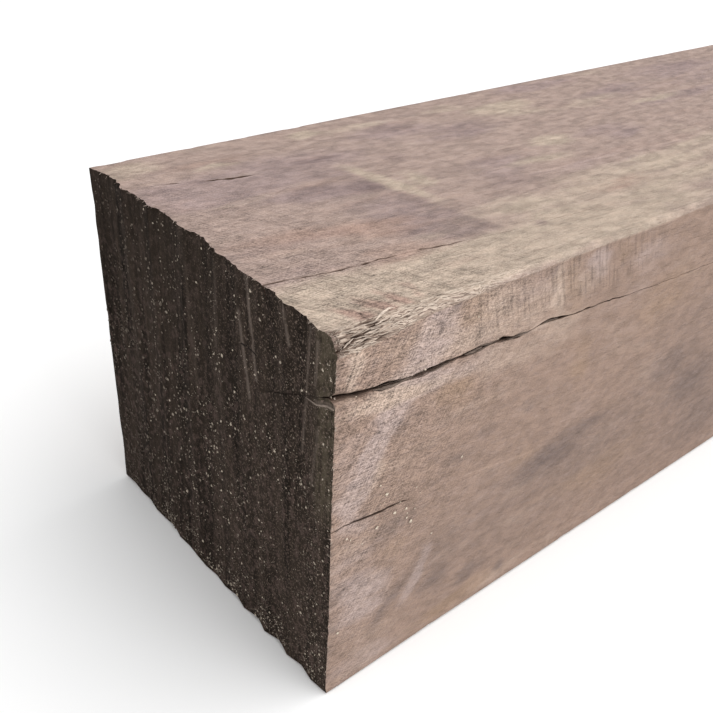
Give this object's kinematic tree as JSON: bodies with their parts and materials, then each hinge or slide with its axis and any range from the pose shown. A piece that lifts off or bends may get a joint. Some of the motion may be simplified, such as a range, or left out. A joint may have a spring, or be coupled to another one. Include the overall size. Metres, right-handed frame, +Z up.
{
  "type": "treated hardwood post",
  "caption": "Square sawn, treated hardwood post with a rough docked end, drying checks along the grain and worn arrises, for fencing, edging and landscape work.",
  "frame": {"origin": "middle of the underside that the post lies on", "axes": "+X along the length, from the rough-docked end to the plain end; -Y is the face with the long drying check; +Z up"},
  "size_m": [1.8, 0.1, 0.1],
  "materials": {
    "timber": "rough sawn, weathered"
  },
  "bodies": {
    "root": {"post": "timber"}
  },
  "joints": []
}
